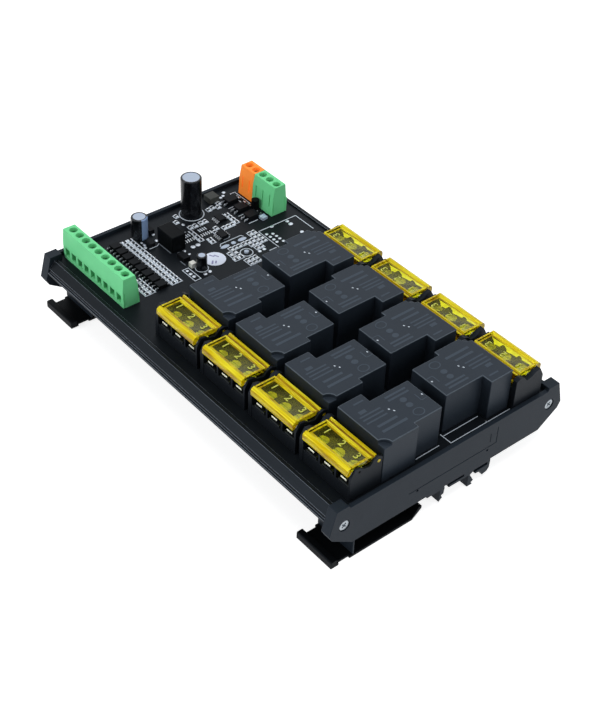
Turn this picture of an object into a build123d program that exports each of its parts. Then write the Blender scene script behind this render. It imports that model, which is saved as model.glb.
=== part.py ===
from build123d import *
import os

# Relay module board on a rail carrier. Millimetres, Z up.
# X runs along the carrier, from the rear end plate to the front one.
# The rail latches are on the -Y side. Z = 0 is the plane the feet rest on.
# A rise is a height above the top of the board.

# Barrier terminal, measured from its relay's outer rear corner
way_pitch = 9.5
first_way_x = 4.1
way_rear_space = 4.5
way_front_space = 3.2
barrier_rear_wall = 2.3
barrier_front_wall = 1.0
barrier_inner_rear = first_way_x - way_rear_space
barrier_inner_front = first_way_x + 2 * way_pitch + way_front_space
barrier_x0 = barrier_inner_rear - barrier_rear_wall
barrier_x1 = barrier_inner_front + barrier_front_wall
barrier_depth = 16.3
barrier_gap = 2.3
barrier_rib = 1.1
barrier_relay_gap = 0.3
barrier_base_rise = 6.3
barrier_back_y = -6.4
barrier_back_rise = 11.2
terminal_screw_y = -10.5
well_half = 1.7
well_floor_rise = 1.2

# Cover hinge and cover, in the same frame
hinge_y = -2.0
hinge_rise = 13.3
hinge_pin_radius = 0.8
hinge_clearance = 0.05
hinge_pin_inset = 1.2
hinge_end_gap = 0.2
hinge_pin_sides = 8
lock_hole_y = -11.9
lock_hole_rise = 13.1
lock_hole_radius = 0.6
cover_gap = 0.2
cover_rim = 0.9
cover_panel_rise = 14.0
cover_panel_thickness = 1.2
cover_ridge_height = 0.9

# Contact, clamp plate and screw of one way
contact_thickness = 1.0
contact_half_width = 3.0
contact_gap = 0.05
contact_back = 3.95
clamp_thickness = 0.8
clamp_lift = 1.4
clamp_front = 5.5
clamp_back = 3.3
clamp_tab_half = 1.75
clamp_tab_length = 2.2
terminal_head_radius = 2.8
terminal_head_height = 2.0
terminal_shank_radius = 1.5
terminal_shank_length = 7.8
shank_clearance = 0.1
screw_slot_width = 0.8
screw_slot_depth = 0.9

# Relays, four along each side
relays_per_side = 4
relay_length = 27.5
relay_depth = 32.4
relay_height = 20.1
relay_rear_step_x = 5.07
relay_rear_step_y = 12.28
relay_front_step_x = 24.91
relay_front_step_y = 17.66
relay_notch_radius = 3.8
relay_notch_depth = 1.8
relay_pitch = barrier_x1 - barrier_x0 + barrier_gap
column_half_gap = 2.95
relay_row_y = column_half_gap + relay_depth

# Length of the carrier: the electronics and then the relays
electronics_length = 74.4
front_margin = 3.7
relays_length = (relays_per_side - 1) * relay_pitch + relay_length - barrier_x0
half_length = (electronics_length + relays_length + front_margin) / 2
left_relay_x = half_length - front_margin - relay_length

# Width of the carrier
corner_gap = 3.35
corner_block_inner = relay_row_y + barrier_depth + corner_gap
corner_block_width = 9.0
half_width = corner_block_inner + corner_block_width

# Circuit board
board_top = 27.3
board_thickness = 1.6
board_end_gap = 0.3
board_edge_inset = 4.8
board_side_gap = 0.2
board_fit = 0.1
notch_gap = 0.2

# End plates and carrier profile
plate_web = 2.0
plate_base = 5.0
plate_corner_rise = 3.1
plate_middle_rise = 1.7
plate_wide_rise = -8.4
plate_knee_rise = -11.4
plate_top_inset = 3.0
plate_knee_inset = 1.5
plate_bottom_inset = 12.1
corner_slope = 0.8
seat_inset = 0.1
profile_end_gap = 0.1
floor_thickness = 1.6
rim_rise = 0.8
rim_lip_inset = 6.8
flank_inset = 1.1
board_half_length = half_length - plate_web - board_end_gap
board_half_width = half_width - board_edge_inset
right_relay_x = board_half_length + barrier_x0
mark_depth = 0.3
mark_width = 0.3
mark_hole_radius = 0.6

# Plate screws
screw_inset = 7.4
screw_rise = -6.6
plate_screw_shank_radius = 1.4
plate_screw_head_radius = 2.3
plate_screw_head_height = 1.6
plate_screw_length = 12.0
counterbore_radius = 2.6
counterbore_depth = 2.0
screw_clearance = 0.15
screw_port_clearance = 0.05
screw_port_slit = 1.2
recess_width = 0.7
recess_depth = 0.8
recess_length = 2.6
screw_y = half_width - screw_inset
screw_z = board_top + screw_rise

# Rail foot, one under each end plate
rail_seat_z = 7.7
foot_thickness = 2.6
seat_rim = 1.1
foot_width = 21.0
foot_wall_inset = 12.75
foot_wall_thickness = 0.7
foot_right_y = 25.0
guide_x = 10.5
guide_stem = 3.0
guide_flange = 7.0
guide_flange_thickness = 1.4
guide_flange_drop = 4.3
guide_wall_gap = 3.75
guide_end_y = -22.0
plate_bottom_z = rail_seat_z + seat_rim
floor_low = plate_bottom_z + foot_thickness
floor_high = floor_low + floor_thickness
foot_wall_y = foot_wall_inset - half_width
guide_start_y = foot_wall_y + guide_wall_gap

# Rail latch
latch_floor = 1.2
latch_lip_inset = 1.85
latch_lip_width = 3.0
latch_lip_height = 3.4
latch_lip_edge = 0.4
latch_notch_length = 5.6
latch_notch_depth = 1.0
latch_gap = 0.3
latch_arm = 1.4
latch_arm_low = 0.5
latch_arm_shorter = 1.0
tongue_width = 8.0
tongue_tip_y = -12.0
tongue_drop = 1.3
tongue_thickness = 1.0

# Small screw terminals
small_pitch = 5.17
small_input_ways = 9
small_supply_ways = 2
small_bus_ways = 3
small_input_rear = 3.2
small_supply_rear = 9.0
small_end_wall = 0.9
small_first_gap = 1.8
small_supply_gap = 0.3
small_between = 0.2
small_input_edge = 9.85
small_supply_edge = 11.2
small_ledge = 0.6
small_screw_hole_radius = 2.0
small_screw_radius = 1.8
small_screw_rise = 13.3
small_slot_width = 0.6
small_slot_depth = 0.8
small_entry_half = 1.7
small_entry_low = 1.9
small_entry_high = 6.3
small_entry_depth = 6.4
small_cage_wall = 0.4
small_cage_fit = 0.1
small_cage_half_depth = 1.9
small_groove = 0.5
small_input_y = small_input_edge - board_half_width
small_row_y = board_half_width - small_supply_edge

# Electronics, measured from the rear end of the carrier
input_pitch = 5.16
first_input_x = 12.7
resistor_half_length = 0.63
resistor_half_width = 1.0
resistor_height = 0.55
resistor_pair_half = 1.3
capacitor_crimp = 0.35
capacitor_groove = 0.6
capacitor_edge = 0.4


def prism_x(points, x0, x1):
    """Extrude a (Y, Z) outline along X."""
    face = make_face(Polyline(*points, close=True))
    return extrude(Plane.YZ.offset(x0) * face, x1 - x0)


def prism_z(points, z0, z1):
    """Extrude an (X, Y) outline along Z."""
    face = make_face(Polyline(*points, close=True))
    return extrude(Plane.XY.offset(z0) * face, z1 - z0)


def block(x0, x1, y0, y1, z0, z1):
    """Box given by its limits."""
    return Pos((x0 + x1) / 2, (y0 + y1) / 2, (z0 + z1) / 2) * Box(x1 - x0, y1 - y0, z1 - z0)


def facet_z(x, y, radius, z0, z1, sides=12):
    """Upright many-sided rod, for small round pieces and holes."""
    face = Pos(x, y, z0) * RegularPolygon(radius, sides)
    return extrude(face, z1 - z0)


def facet_x(y, z, radius, x0, x1, sides=12):
    """Many-sided rod along X."""
    face = Plane.YZ.offset(x0) * Pos(y, z) * RegularPolygon(radius, sides)
    return extrude(face, x1 - x0)


def rod_x(y, z, radius, x0, x1):
    """Cylinder along X."""
    return Pos((x0 + x1) / 2, y, z) * Rot(0, 90, 0) * Cylinder(radius, x1 - x0)


def mirrored(points):
    """Add the -Y half of an outline given from the middle outwards."""
    return points + [(-y, z) for y, z in reversed(points) if y > 0]


def raised(points, level):
    """Outline whose heights are given above or below a level."""
    return [(y, level + z) for y, z in points]


def relay_places():
    """Location of each relay's outer rear corner on the board, left side first."""
    places = []
    for i in range(relays_per_side):
        places.append(Location((left_relay_x - relay_pitch * i, -relay_row_y, board_top)))
    for i in range(relays_per_side):
        spot = (right_relay_x - relay_pitch * i, relay_row_y, board_top)
        places.append(Location(spot, (0, 0, 180)))
    return places


def way_xs():
    """Middle of each of the three ways of a barrier terminal."""
    return [first_way_x + way_pitch * i for i in range(3)]


def base_profile():
    """Extruded carrier tray that the board slides into."""
    half = half_length - plate_base - profile_end_gap
    ledge = board_top - board_thickness - board_fit
    rim = board_top + rim_rise
    lip = board_top + board_fit
    slot_outer = board_half_width + board_side_gap
    lip_inner = half_width - rim_lip_inset
    flank = half_width - flank_inset
    tray = prism_x([
        (0, floor_low), (flank - 8.9, floor_low), (flank - 3.4, rim - 9.5), (flank, rim - 5.9),
        (flank, rim - 5.0), (flank - 1.0, rim - 4.8), (flank - 1.0, rim - 3.3), (flank - 4.0, rim),
        (lip_inner, rim), (lip_inner, lip), (slot_outer, lip), (slot_outer, ledge),
        (slot_outer - 4.2, ledge), (slot_outer - 6.2, ledge - 2.2), (slot_outer - 6.2, ledge - 7.6),
        (slot_outer - 7.9, floor_high), (0, floor_high),
    ], -half, half)
    port = facet_x(screw_y, screw_z, plate_screw_shank_radius + screw_port_clearance,
                   -half - 1, half + 1)
    slit_low = screw_z - screw_port_slit / 2
    slit = block(-half - 1, half + 1, slot_outer - 7.4, screw_y, slit_low, slit_low + screw_port_slit)
    tray = tray - port - slit
    return tray + mirror(tray, Plane.XZ)


def circuit_board():
    """Board with its corners notched round the end plates."""
    notch_x = half_length - plate_base - notch_gap
    notch_y = corner_block_inner - notch_gap
    outline = [(board_half_length, -notch_y), (board_half_length, notch_y), (notch_x, notch_y),
               (notch_x, board_half_width), (-notch_x, board_half_width), (-notch_x, notch_y),
               (-board_half_length, notch_y), (-board_half_length, -notch_y), (-notch_x, -notch_y),
               (-notch_x, -board_half_width), (notch_x, -board_half_width), (notch_x, -notch_y)]
    return prism_z(outline, board_top - board_thickness, board_top)


def end_plate():
    """Front end plate with its rail foot, moulded as one piece."""
    outer = half_length
    inner = outer - plate_base
    corner_top = board_top + plate_corner_rise
    middle_top = board_top + plate_middle_rise
    plate = prism_x(mirrored([
        (0, plate_bottom_z), (half_width - plate_bottom_inset, plate_bottom_z),
        (half_width - plate_knee_inset, board_top + plate_knee_rise),
        (half_width, board_top + plate_wide_rise), (half_width - plate_top_inset, corner_top),
        (corner_block_inner, corner_top), (corner_block_inner - corner_slope, middle_top),
        (0, middle_top),
    ]), inner, outer)
    seat_half = corner_block_inner - seat_inset
    plate -= block(inner - 1, outer - plate_web, -seat_half, seat_half,
                   board_top - board_thickness - board_fit, corner_top + 1)
    back = outer - foot_width
    plate += block(back, outer, foot_wall_y, foot_right_y, plate_bottom_z, floor_low)
    plate += block(back, outer, foot_wall_y, foot_wall_y + foot_wall_thickness,
                   latch_floor + latch_gap, plate_bottom_z)
    plate += rail_hooks(back, outer)
    plate += latch_guide(outer - guide_x)
    for side in (-1, 1):
        hole = facet_x(side * screw_y, screw_z, plate_screw_shank_radius + screw_clearance,
                       inner - 1, outer, 8)
        bore = facet_x(side * screw_y, screw_z, counterbore_radius,
                       outer - counterbore_depth, outer + 1, 16)
        plate -= hole + bore
    return plate - plate_marks(outer)


def latch_guide(middle):
    """T-shaped rail that the latch slides along."""
    low = rail_seat_z - guide_flange_drop
    stem = block(middle - guide_stem / 2, middle + guide_stem / 2, guide_start_y, guide_end_y,
                 low, plate_bottom_z)
    flange = block(middle - guide_flange / 2, middle + guide_flange / 2, guide_start_y, guide_end_y,
                   low, low + guide_flange_thickness)
    return stem + flange


def rail_hooks(x0, x1):
    """Rail seat, two snap hooks and the fixed hook of the foot."""
    fixed = [(-12.75, seat_rim), (-12.05, 0), (-4.95, 0), (-4.95, -6.5), (-3.15, -4.9),
             (-3.85, -3.4), (-2.55, -3.0), (-2.25, 0), (-2.45, seat_rim)]
    snap = [(8.6, seat_rim), (8.6, -0.1), (0.2, -0.1), (0.2, -1.3), (11.25, -1.4),
            (11.25, -rail_seat_z), (14.35, -rail_seat_z), (13.35, -6.6), (14.65, -5.7), (12.3, -1.5),
            (14.6, 0), (22.25, 0), (22.25, -1.4), (15.35, -1.5), (15.35, -2.6), (17.2, -2.8),
            (18.0, -2.5), (19.75, -5.8), (22.35, -5.2), (23.55, -3.8), (23.85, -0.5),
            (23.75, seat_rim)]
    return prism_x(raised(fixed, rail_seat_z), x0, x1) + prism_x(raised(snap, rail_seat_z), x0, x1)


def plate_marks(outer):
    """Shallow moulded lines and two pin holes in the outer face."""
    line_z = board_top - 10.6
    x0 = outer - mark_depth
    marks = block(x0, outer + 1, -23.0, 25.7, line_z, line_z + mark_width)
    marks += block(x0, outer + 1, 25.7 - mark_width, 25.7, line_z, line_z + 8.7)
    marks += block(x0, outer + 1, 21.6, 21.6 + mark_width, line_z + 2.5, line_z + 7.1)
    for y, below in ((-18.3, 0.8), (20.8, 1.5)):
        marks += facet_x(y, line_z - below, mark_hole_radius, outer - 1, outer + 1, 6)
    return marks


def plate_screws():
    """Four tapping screws that hold the end plates."""
    start = half_length - counterbore_depth
    head_top = start + plate_screw_head_height
    screws = []
    for side in (-1, 1):
        y = side * screw_y
        screw = facet_x(y, screw_z, plate_screw_shank_radius, start - plate_screw_length, start, 8)
        screw += facet_x(y, screw_z, plate_screw_head_radius, start, head_top)
        for turn in (45, 135):
            bar = Pos(head_top, y, screw_z) * Rot(turn, 0, 0)
            screw -= bar * Box(2 * recess_depth, recess_length, recess_width)
        screws.append(screw)
        screws.append(mirror(screw, Plane.YZ))
    return Compound(children=screws)


def rail_latch():
    """Front rail latch: a tray with a pull lip, guide arms and a tongue under the rail."""
    x1 = half_length
    x0 = x1 - foot_width
    lip_y0 = latch_lip_inset - half_width
    lip_y1 = lip_y0 + latch_lip_width
    end_low = rail_seat_z - 3.7
    end_high = end_low + latch_arm
    tray = prism_x([(lip_y0, 0), (-19.55, 0), (-14.65, end_low), (-14.65, end_high),
                    (-16.2, end_high), (-19.4, latch_floor), (lip_y1, latch_floor),
                    (lip_y1, latch_lip_height), (lip_y0 + latch_lip_edge, latch_lip_height),
                    (lip_y0, latch_lip_height - latch_lip_edge)], x0, x1)
    notch_y = foot_wall_y - 1.35
    for edge in (x0, x1):
        tray -= block(edge - latch_notch_depth, edge + latch_notch_depth,
                      notch_y - latch_notch_length, notch_y, -1, latch_lip_height + 1)
    middle = x1 - guide_x
    arm_inner = guide_flange / 2 + latch_gap
    arm_outer = arm_inner + latch_arm
    hook_inner = guide_stem / 2 + latch_gap
    hook_low = rail_seat_z - guide_flange_drop + guide_flange_thickness + latch_gap
    hook_high = hook_low + latch_arm
    arm_length = guide_end_y - guide_start_y - 2 * latch_arm_shorter
    for side in (-1, 1):
        outline = [(side * arm_inner, latch_arm_low), (side * arm_outer, latch_arm_low),
                   (side * arm_outer, hook_high), (side * hook_inner, hook_high),
                   (side * hook_inner, hook_low), (side * arm_inner, hook_low)]
        face = Plane.XZ * make_face(Polyline(*outline, close=True))
        tray += Pos(middle, guide_start_y + latch_arm_shorter, 0) * extrude(face, -arm_length)
    tip_high = rail_seat_z - tongue_drop
    tip_low = tip_high - tongue_thickness
    tongue = prism_x([(-16.5, tip_low - 1.2), (-14.0, tip_low - 1.2), (tongue_tip_y, tip_low),
                      (tongue_tip_y, tip_high), (-16.5, tip_high)],
                     middle - tongue_width / 2, middle + tongue_width / 2)
    return tray + tongue


def relay():
    """Sealed relay, standing on the board."""
    outline = [(0, 0), (0, relay_rear_step_y), (relay_rear_step_x, relay_rear_step_y),
               (relay_rear_step_x, relay_depth), (relay_front_step_x, relay_depth),
               (relay_front_step_x, relay_front_step_y), (relay_length, relay_front_step_y),
               (relay_length, 0)]
    notch = facet_z(relay_length, 0, relay_notch_radius, relay_height - relay_notch_depth,
                    relay_height + 1, 16)
    return prism_z(outline, 0, relay_height) - notch


def terminal_housing():
    """Three-way barrier housing with end walls, two ribs and a hinge block."""
    back = -barrier_relay_gap
    wall = [(-barrier_depth + 0.1, 0), (-barrier_depth, 10.8), (-barrier_depth + 0.3, 11.9),
            (-14.1, 15.4), (-11.4, 15.0), (-9.7, 13.6), (-6.5, 13.0), (-5.4, 14.2), (-4.7, 15.3),
            (-2.3, 16.0), (back, 14.9), (back, 0)]
    front_y = -barrier_depth + 0.3
    body = prism_x([(front_y, 0), (front_y, barrier_base_rise), (barrier_back_y, barrier_base_rise),
                    (barrier_back_y, barrier_back_rise), (back, barrier_back_rise), (back, 0)],
                   barrier_x0, barrier_x1)
    body += prism_x(wall, barrier_x0, barrier_inner_rear)
    body += prism_x(wall, barrier_inner_front, barrier_x1)
    rib = [(front_y, 0), (front_y, 10.7), (front_y + 1.5, 13.1), (barrier_back_y, 13.1),
           (barrier_back_y + 1.8, barrier_back_rise), (barrier_back_y + 1.8, 0)]
    xs = way_xs()
    for x in xs[:-1]:
        x0 = x + (way_pitch - barrier_rib) / 2
        body += prism_x(rib, x0, x0 + barrier_rib)
    for x in xs:
        body -= block(x - well_half, x + well_half, terminal_screw_y - well_half,
                      terminal_screw_y + well_half, well_floor_rise, barrier_base_rise + 1)
    hole = hinge_pin_radius + hinge_clearance
    body -= rod_x(hinge_y, hinge_rise, hole, barrier_inner_front - 0.1, barrier_x1 + 1)
    body -= facet_x(hinge_y, hinge_rise, hole, barrier_x0 + hinge_pin_inset - hinge_end_gap,
                    barrier_inner_rear + 0.1, hinge_pin_sides)
    return body - facet_x(lock_hole_y, lock_hole_rise, lock_hole_radius,
                          barrier_inner_front - 0.1, barrier_x1 + 1, 6)


def terminal_cover():
    """Clear cover with a grip lip, a sunk top and hinge pins at its ends."""
    x0 = barrier_inner_rear + cover_gap
    x1 = barrier_inner_front - cover_gap
    low = cover_panel_rise
    top = low + cover_panel_thickness
    ridge = top + cover_ridge_height
    sheet = prism_x([(-17.0, low - 1.6), (-17.1, top - 1.1), (-16.8, top), (-16.1, ridge - 0.3),
                     (-15.2, ridge), (-14.3, top), (-5.5, top),
                     (-5.3, ridge - 0.1), (-4.8, ridge - 0.1), (-4.6, top + 0.2), (-3.4, top + 0.2),
                     (-3.2, ridge), (-2.5, ridge - 0.1), (-1.0, top - 0.9), (-0.7, low - 1.5),
                     (-3.2, low - 1.8), (-4.2, low), (-14.6, low), (-15.8, low - 1.6)], x0, x1)
    sheet += block(x0, x0 + cover_rim, -14.6, -5.4, low, ridge - 0.1)
    sheet += block(x1 - cover_rim, x1, -14.6, -5.4, low, ridge - 0.1)
    return sheet + facet_x(hinge_y, hinge_rise, hinge_pin_radius,
                           barrier_x0 + hinge_pin_inset, barrier_x1, hinge_pin_sides)


def shank_hole(x, z0, z1):
    """Square hole that a clamp screw's shank passes."""
    half = terminal_shank_radius + shank_clearance
    return block(x - half, x + half, terminal_screw_y - half, terminal_screw_y + half, z0, z1)


def terminal_contact(x):
    """Flat contact bar of one way."""
    low = barrier_base_rise + contact_gap
    top = low + contact_thickness
    bar = block(x - contact_half_width, x + contact_half_width,
                terminal_screw_y - clamp_front + 0.2, terminal_screw_y + contact_back, low, top)
    return bar - shank_hole(x, low - 1, top + 1)


def clamp_rise():
    """Height of the clamp plates over the board."""
    return barrier_base_rise + contact_gap + contact_thickness + clamp_lift


def terminal_clamp(x):
    """Tinned clamp plate that a wire is held under."""
    y0 = terminal_screw_y - clamp_front
    y1 = terminal_screw_y + clamp_back
    shoulder = y0 + clamp_tab_length
    wide = contact_half_width
    tab = clamp_tab_half
    low = clamp_rise()
    plate = prism_z([(x - wide, y1), (x - wide, shoulder), (x - tab, shoulder), (x - tab, y0),
                     (x + tab, y0), (x + tab, shoulder), (x + wide, shoulder), (x + wide, y1)],
                    low, low + clamp_thickness)
    return plate - shank_hole(x, low - 1, low + clamp_thickness + 1)


def terminal_screw(x):
    """Slotted clamp screw of one way."""
    seat = clamp_rise() + clamp_thickness
    top = seat + terminal_head_height
    screw = facet_z(x, terminal_screw_y, terminal_head_radius, seat, top, 10)
    screw += facet_z(x, terminal_screw_y, terminal_shank_radius, seat - terminal_shank_length, seat, 6)
    half = screw_slot_width / 2
    return screw - block(x - 3, x + 3, terminal_screw_y - half, terminal_screw_y + half,
                         top - screw_slot_depth, top + 1)


def small_ways():
    """Middle X, Y and wire side of every way of the small terminals."""
    first_input = small_input_rear - half_length + small_first_gap + small_pitch / 2
    ways = [(first_input + small_pitch * i, small_input_y, -1) for i in range(small_input_ways)]
    first_supply = small_supply_rear - half_length + small_supply_gap + small_pitch / 2
    for i in range(small_supply_ways + small_bus_ways):
        gap = small_between if i >= small_supply_ways else 0.0
        ways.append((first_supply + gap + small_pitch * i, small_row_y, 1))
    return ways


def small_housing(ways, end, ledge):
    """Screw terminal block with a screw hole and a wire entry for each way."""
    side = ways[0][2]
    y = ways[0][1]
    x0 = ways[0][0] - small_pitch / 2 - end
    x1 = ways[-1][0] + small_pitch / 2 + end
    outline = [(3.7 + ledge, 0), (4.0 + ledge, 7.6), (4.0, 8.1), (3.4, 15.5), (-2.9, 15.4),
               (-4.0, 10.3), (-4.7, 0)]
    body = prism_x([(y + side * u, board_top + z) for u, z in outline], x0, x1)
    low = board_top + small_entry_low
    high = board_top + small_entry_high
    for x, _, _ in ways:
        body -= facet_z(x, y, small_screw_hole_radius, high, board_top + 17, 10)
        ends = sorted((y + side * 6, y + side * (4.0 - small_entry_depth)))
        body -= block(x - small_entry_half, x + small_entry_half, ends[0], ends[1], low, high)
    for x in (x0, x1):
        for u, foot, head in ((3.2, 0, 8.1), (-3.8, 1.1, 7.1)):
            half = small_groove / 2
            body -= block(x - half, x + half, y + side * u - half, y + side * u + half,
                          board_top + foot, board_top + head)
    return body


def back_slots(ways):
    """Narrow slot in the back face behind each way."""
    half = small_groove / 2
    slots = []
    for x, y, side in ways:
        back = y - side * 4.0
        slots.append(block(x - half, x + half, back - 1.0, back + 1.0, board_top + 4.2, board_top + 10.6))
    return slots


def small_screw(x, y):
    """Slotted screw of one small way, down to its cage."""
    top = board_top + small_screw_rise
    screw = facet_z(x, y, small_screw_radius, board_top + small_entry_high + contact_gap, top, 10)
    half = small_slot_width / 2
    return screw - block(x - 2, x + 2, y - half, y + half, top - small_slot_depth, top + 1)


def small_cage(x, y):
    """Clamp cage of one small way."""
    half = small_entry_half - small_cage_fit
    low = board_top + small_entry_low + small_cage_fit
    high = board_top + small_entry_high - small_cage_fit
    wall = small_cage_wall
    reach = small_cage_half_depth
    cage = block(x - half, x + half, y - reach, y + reach, low, high)
    return cage - block(x - half + wall, x + half - wall, y - reach - 1, y + reach + 1,
                        low + wall, high - wall)


def capacitor(rear, y, radius, height, sides, crimp_rise=0.0):
    """Upright can, with a crimp groove near its foot where a rise is given."""
    x = rear - half_length
    can = facet_z(x, y, radius, board_top, board_top + height, sides)
    can = chamfer(can.edges().group_by(Axis.Z)[-1], capacitor_edge)
    if crimp_rise:
        low = board_top + crimp_rise
        ring = facet_z(x, y, radius + 1, low, low + capacitor_groove, sides)
        can -= ring - facet_z(x, y, radius - capacitor_crimp, low - 1, low + 2, sides)
    return can


def chip(rear, y, length, width, height):
    """Moulded body standing on the board."""
    x = rear - half_length
    return block(x - length / 2, x + length / 2, y - width / 2, y + width / 2,
                 board_top, board_top + height)


def chips(entries):
    """Group of like chips as separate solids."""
    return Compound(children=[chip(*entry) for entry in entries])


def resistors():
    """Two rows of small resistors beside the input optocouplers."""
    parts = []
    for row_y in (-25.0, -22.0):
        for i in range(8):
            for side in (-1, 1):
                x = first_input_x + input_pitch * i + side * resistor_pair_half - half_length
                parts.append(block(x - resistor_half_length, x + resistor_half_length,
                                   row_y - resistor_half_width, row_y + resistor_half_width,
                                   board_top, board_top + resistor_height))
    return Compound(children=parts)


def electronics():
    """Pieces on the board between the rear end plate and the relays."""
    optos = [(first_input_x + input_pitch * i, -30.85, 3.9, 4.4, 2.0) for i in range(8)]
    bus = [(x, small_row_y - 12.6, 4.6, 6.0, 2.3) for x in (13.5, 21.7, 29.8)]
    return {
        "capacitor_large": capacitor(10.7, 13.95, 5.1, 21.0, 24, 2.5),
        "capacitor_medium": capacitor(11.4, -16.45, 4.0, 11.5, 20),
        "capacitor_small": capacitor(48.7, -7.95, 2.5, 7.5, 14),
        "converter_block": chip(25.55, -8.35, 12.1, 7.6, 8.4),
        "input_optocouplers": chips(optos),
        "bus_optocouplers": chips(bus),
        "logic_chips": chips([(25.0, -0.35, 4.4, 6.5, 1.1), (25.2, 9.65, 4.4, 6.5, 1.1)]),
        "interface_chips": chips([(22.5, 22.15, 4.9, 3.9, 1.6), (34.0, 14.65, 4.9, 3.9, 1.6)]),
        "diodes": chips([(20.0, -16.35, 4.3, 2.6, 2.1), (11.0, -10.7, 4.3, 2.6, 2.1),
                         (37.7, -10.2, 5.4, 3.6, 2.0)]),
        "power_inductor": chip(7.0, 28.6, 5.4, 5.4, 3.0),
        "white_connector": chip(45.2, -10.6, 2.6, 2.6, 2.4),
        "indicator_led": chip(34.1, small_row_y - 8.8, 3.0, 3.0, 1.4),
        "sounder": facet_z(25.4 - half_length, small_row_y - 6.9, 1.9, board_top, board_top + 5.5),
        "inspection_sticker": facet_z(46.6 - half_length, 0.95, 5.25, board_top, board_top + 0.15, 20),
        "input_resistors": resistors(),
    }


def named_parts():
    """Every piece under the name of its node."""
    plate = end_plate()
    latch = rail_latch()
    parts = {
        "base_profile": base_profile(),
        "circuit_board": circuit_board(),
        "end_plate_screws": plate_screws(),
        "end_plate_front": plate,
        "end_plate_rear": mirror(plate, Plane.YZ),
        "rail_latch_front": latch,
        "rail_latch_rear": mirror(latch, Plane.YZ),
    }
    one_relay = relay()
    housing = terminal_housing()
    cover = terminal_cover()
    screws = []
    clamps = []
    contacts = []
    for number, place in enumerate(relay_places(), start=1):
        parts[f"relay_{number}"] = place * one_relay
        parts[f"terminal_housing_{number}"] = place * housing
        parts[f"terminal_cover_{number}"] = place * cover
        for x in way_xs():
            screws.append(place * terminal_screw(x))
            clamps.append(place * terminal_clamp(x))
            contacts.append(place * terminal_contact(x))
    parts["terminal_screws"] = Compound(children=screws)
    parts["terminal_clamps"] = Compound(children=clamps)
    parts["terminal_contacts"] = Compound(children=contacts)
    ways = small_ways()
    inputs = ways[:small_input_ways]
    supply = ways[small_input_ways:small_input_ways + small_supply_ways]
    bus = ways[small_input_ways + small_supply_ways:]
    parts["input_terminal_housing"] = small_housing(inputs, small_end_wall, 0.0)
    parts["supply_terminal_housing"] = small_housing(supply, 0.0, small_ledge) - back_slots(supply)
    parts["bus_terminal_housing"] = small_housing(bus, 0.0, small_ledge) - back_slots(bus)
    parts["small_terminal_screws"] = Compound(children=[small_screw(x, y) for x, y, _ in ways])
    parts["small_terminal_cages"] = Compound(children=[small_cage(x, y) for x, y, _ in ways])
    parts.update(electronics())
    return parts


os.makedirs("parts", exist_ok=True)
for name, shape in named_parts().items():
    export_step(shape, f"parts/{name}.step")
    print(name, len(shape.solids()), round(shape.volume, 1))
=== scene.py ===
from math import atan2, degrees, hypot, radians
import bpy
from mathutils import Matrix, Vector


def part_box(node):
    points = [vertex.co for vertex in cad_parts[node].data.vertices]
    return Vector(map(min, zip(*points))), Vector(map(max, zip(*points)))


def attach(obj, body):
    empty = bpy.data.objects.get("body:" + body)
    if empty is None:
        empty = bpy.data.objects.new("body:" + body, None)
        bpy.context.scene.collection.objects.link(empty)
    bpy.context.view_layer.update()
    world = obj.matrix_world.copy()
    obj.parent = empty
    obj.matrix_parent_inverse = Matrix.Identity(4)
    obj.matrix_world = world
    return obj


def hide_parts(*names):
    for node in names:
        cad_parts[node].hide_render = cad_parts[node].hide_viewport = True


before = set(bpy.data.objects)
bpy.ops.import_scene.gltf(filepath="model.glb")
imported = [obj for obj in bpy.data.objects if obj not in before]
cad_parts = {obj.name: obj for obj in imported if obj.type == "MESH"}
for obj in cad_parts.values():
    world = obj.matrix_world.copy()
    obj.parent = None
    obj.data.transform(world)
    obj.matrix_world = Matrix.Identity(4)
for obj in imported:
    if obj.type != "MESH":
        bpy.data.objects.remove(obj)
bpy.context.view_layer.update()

# Relay module board on a rail carrier, in metres and in the CAD frame.
# X runs along the carrier, the rail latches are on the -Y side, Z is up.
# Sizes in the dictionaries are millimetres.

mm = 0.001
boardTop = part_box("circuit_board")[1][2] / mm
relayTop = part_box("relay_1")[1][2] / mm


def deselectAll():
    if bpy.context.object and bpy.context.object.mode != "OBJECT":
        bpy.ops.object.mode_set(mode="OBJECT")
    bpy.ops.object.select_all(action="DESELECT")


def hexColour(code):
    # sRGB hex to the linear values that Blender works in
    channels = []
    for i in (1, 3, 5):
        value = int(code[i:i + 2], 16) / 255
        channels.append(value / 12.92 if value <= 0.04045 else ((value + 0.055) / 1.055) ** 2.4)
    return (*channels, 1.0)


def addNode(tree, kind, settings=None, links=None):
    node = tree.nodes.new(kind)
    for key, value in (settings or {}).items():
        if isinstance(key, int) or key in node.inputs:
            node.inputs[key].default_value = value
        else:
            setattr(node, key, value)
    for key, socket in (links or {}).items():
        tree.links.new(socket, node.inputs[key])
    return node


def newMaterial(name):
    material = bpy.data.materials.new(name)
    material.use_nodes = True
    material.node_tree.nodes.clear()
    return material, material.node_tree


def closeMaterial(tree, shader):
    addNode(tree, "ShaderNodeOutputMaterial", links={"Surface": shader.outputs[0]})


def objectPattern(tree, stretch):
    # object coordinates, stretched so that one unit is one grain
    place = addNode(tree, "ShaderNodeTexCoord")
    return addNode(tree, "ShaderNodeMapping", {"Scale": stretch}, {"Vector": place.outputs["Object"]})


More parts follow.
